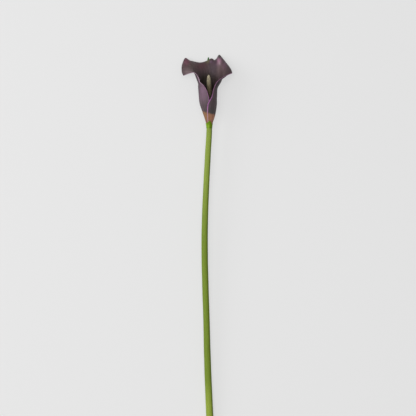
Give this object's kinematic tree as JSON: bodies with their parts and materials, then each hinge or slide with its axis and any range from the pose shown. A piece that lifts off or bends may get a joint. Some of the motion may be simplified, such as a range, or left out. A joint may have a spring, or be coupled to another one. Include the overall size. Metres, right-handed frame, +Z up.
{
  "type": "calla lily flower",
  "caption": "Cut calla lily laid on its back: a dark purple spathe rolled into a funnel round a khaki spadix, on a long green stem.",
  "frame": {"origin": "bottom centre of the whole flower as it lies on a surface", "axes": "+X along the stem from its cut end to the flower head, +Y across the flower, +Z up, the way the open front of the spathe faces"},
  "size_m": [0.6021, 0.0763, 0.0407],
  "materials": {
    "stem_green": "satin",
    "collar_green": "satin",
    "spathe_purple": "satin",
    "spadix_khaki": "matte"
  },
  "bodies": {
    "root": {"stem": "stem_green", "collar": "collar_green", "spathe": "spathe_purple", "spadix": "spadix_khaki"}
  },
  "joints": []
}
